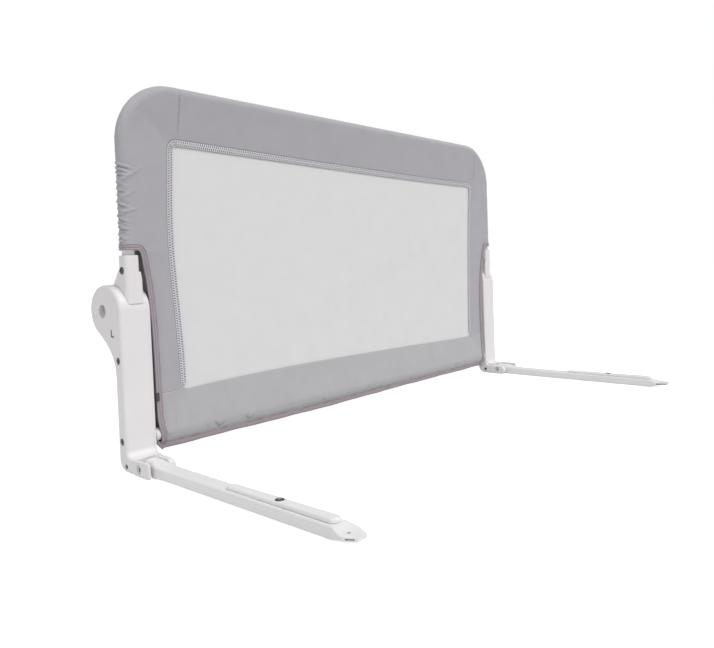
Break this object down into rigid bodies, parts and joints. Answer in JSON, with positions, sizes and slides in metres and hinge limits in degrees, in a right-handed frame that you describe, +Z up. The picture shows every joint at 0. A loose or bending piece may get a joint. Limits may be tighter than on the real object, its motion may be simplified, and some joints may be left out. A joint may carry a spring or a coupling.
{
  "type": "folding bed guard rail",
  "caption": "Folding bed guard rail: a fabric panel with a mesh window on a hinged tube frame, held by flat arms that slide under a mattress.",
  "frame": {"origin": "on the surface that the arms lie on, below the middle of the bounding box", "axes": "+X along the rail from its left side to its right, -Y over the bed along the arms, +Z up"},
  "size_m": [0.9, 0.452, 0.495],
  "materials": {
    "plastic": "fine satin moulding",
    "powder_coat": "white powder coat",
    "zinc": "bright zinc",
    "black_steel": "black oxide",
    "cloth": "grey plain weave",
    "band_cloth": "light grey plain weave",
    "net_cloth": "white fine mesh"
  },
  "bodies": {
    "base": {"left_post_outer_shell": "plastic", "right_post_outer_shell": "plastic", "left_post_inner_shell": "plastic", "right_post_inner_shell": "plastic", "left_post_core": "zinc", "right_post_core": "zinc", "left_pivot_bolt": "zinc", "right_pivot_bolt": "zinc", "left_pivot_nut": "zinc", "right_pivot_nut": "zinc", "left_post_screw": "black_steel", "right_post_screw": "black_steel", "left_bar_screw": "black_steel", "right_bar_screw": "black_steel", "left_heel_rivet": "black_steel", "right_heel_rivet": "black_steel", "left_arm_rivet": "zinc", "right_arm_rivet": "zinc", "left_bar_plug": "plastic", "right_bar_plug": "plastic", "bottom_bar": "powder_coat", "cover_bottom": "band_cloth", "left_cover_lower_side": "cloth", "right_cover_lower_side": "cloth", "net_lower": "net_cloth"},
    "panel": {"left_hinge_bracket": "plastic", "right_hinge_bracket": "plastic", "left_bracket_screw": "black_steel", "right_bracket_screw": "black_steel", "left_corner_tube": "powder_coat", "right_corner_tube": "powder_coat", "left_snap_button": "zinc", "right_snap_button": "zinc", "top_tube": "powder_coat", "cover_top": "cloth", "left_cover_side": "cloth", "right_cover_side": "cloth", "net_upper": "net_cloth"},
    "left_arm": {"left_arm_tube": "powder_coat", "left_crossbar_rivet": "black_steel", "left_crossbar_washer": "zinc"},
    "right_arm": {"right_arm_tube": "powder_coat", "right_crossbar_rivet": "black_steel", "right_crossbar_washer": "zinc"},
    "left_swivel": {"left_crossbar": "powder_coat"},
    "right_swivel": {"right_crossbar": "powder_coat"}
  },
  "joints": [
    {"name": "panel_fold", "type": "hinge", "parent": "base", "child": "panel", "pos_m": [0, 0.193, 0.202], "axis": [-1, 0, 0], "range_deg": [0, 180]},
    {"name": "left_arm_fold", "type": "hinge", "parent": "base", "child": "left_arm", "pos_m": [-0.4286, 0.1205, 0.00975], "axis": [-1, 0, 0], "range_deg": [0, 90]},
    {"name": "right_arm_fold", "type": "hinge", "parent": "base", "child": "right_arm", "pos_m": [0.4286, 0.1205, 0.00975], "axis": [-1, 0, 0], "range_deg": [0, 90]},
    {"name": "left_crossbar_turn", "type": "hinge", "parent": "left_arm", "child": "left_swivel", "pos_m": [-0.4286, -0.114, 0.0158], "axis": [0, 0, 1], "range_deg": [-90, 90]},
    {"name": "right_crossbar_turn", "type": "hinge", "parent": "right_arm", "child": "right_swivel", "pos_m": [0.4286, -0.114, 0.0158], "axis": [0, 0, 1], "range_deg": [-90, 90]}
  ]
}
